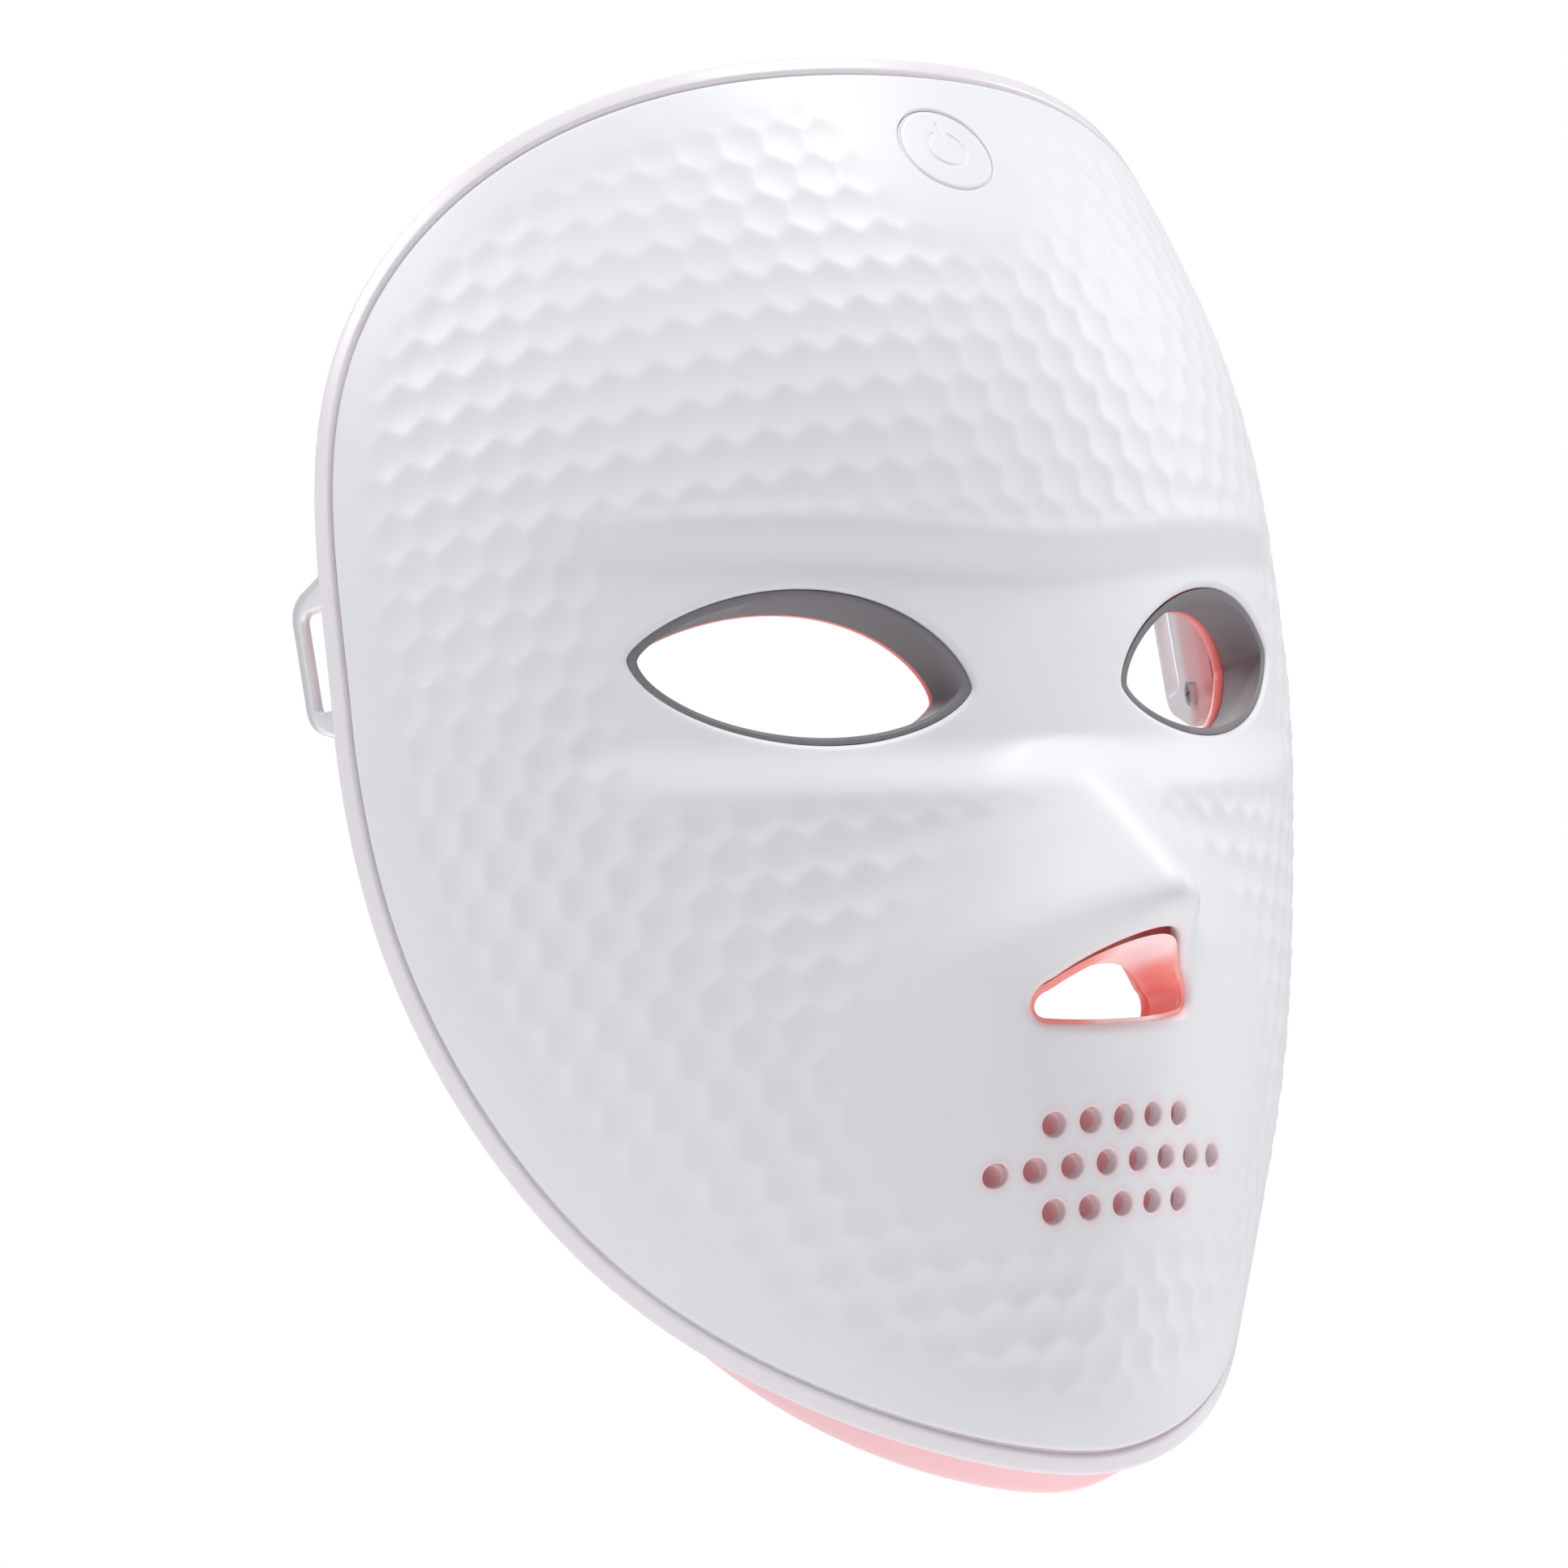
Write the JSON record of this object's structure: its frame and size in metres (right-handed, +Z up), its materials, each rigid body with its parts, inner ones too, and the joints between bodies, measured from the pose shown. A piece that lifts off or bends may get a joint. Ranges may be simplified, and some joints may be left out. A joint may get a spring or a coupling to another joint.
{
  "type": "led face mask",
  "caption": "Rigid full-face light therapy mask with dimpled outer shell, LED boards behind a translucent inner panel, push button and strap loops.",
  "frame": {"origin": "middle of the face cavity, a little below the line between the two strap slots", "axes": "+Z up as worn, the wearer looks along -Y, +X is the wearer's left"},
  "size_m": [0.1581, 0.0871, 0.1957],
  "materials": {
    "shell_white": "satin",
    "rim_white": "satin",
    "panel_pink": "gloss",
    "gasket_grey": "matte",
    "loop_clear": "gloss",
    "screw_steel": "brushed",
    "button_white": "satin",
    "board_green": "solder mask",
    "switch_body": "matte",
    "switch_stem": "matte",
    "chip_black": "matte",
    "socket_steel": "satin",
    "battery_foil": "satin",
    "foam_grey": "foam",
    "lead_red": "matte",
    "led_board_white": "solder mask",
    "led_resin": "gloss",
    "ribbon_amber": "satin",
    "connector_beige": "matte"
  },
  "bodies": {
    "housing": {"outer_shell": "shell_white", "rim_frame": "rim_white", "inner_panel": "panel_pink", "eye_gasket_right": "gasket_grey", "eye_gasket_left": "gasket_grey", "strap_loop_right": "loop_clear", "strap_loop_left": "loop_clear", "panel_screws": "screw_steel", "strap_loop_screws": "screw_steel", "control_board": "board_green", "tact_switch": "switch_body", "control_chips": "chip_black", "usb_c_socket": "socket_steel", "battery": "battery_foil", "battery_pad": "foam_grey", "battery_leads": "lead_red", "forehead_led_board": "led_board_white", "forehead_leds": "led_resin", "cheek_right_led_board": "led_board_white", "cheek_right_leds": "led_resin", "cheek_left_led_board": "led_board_white", "cheek_left_leds": "led_resin", "chin_led_board": "led_board_white", "chin_leds": "led_resin", "forehead_ribbon_right": "ribbon_amber", "forehead_ribbon_left": "ribbon_amber", "chin_ribbon_right": "ribbon_amber", "chin_ribbon_left": "ribbon_amber", "control_ribbon": "ribbon_amber", "board_connectors": "connector_beige"},
    "button": {"power_button": "button_white"},
    "stem": {"switch_stem": "switch_stem"}
  },
  "joints": [
    {"name": "button_press", "type": "slide", "parent": "housing", "child": "button", "axis": [0, 0.9393, -0.3431], "range_m": [0, 0.0003], "stiffness_N_per_m": 4000, "springref_m": -0.0001},
    {"name": "stem_press", "type": "slide", "parent": "housing", "child": "stem", "axis": [0, 0.9393, -0.3431], "range_m": [0, 0.0003]}
  ],
  "couplings": [
    {"joint": "stem_press", "follows": "button_press", "ratio": 1}
  ]
}
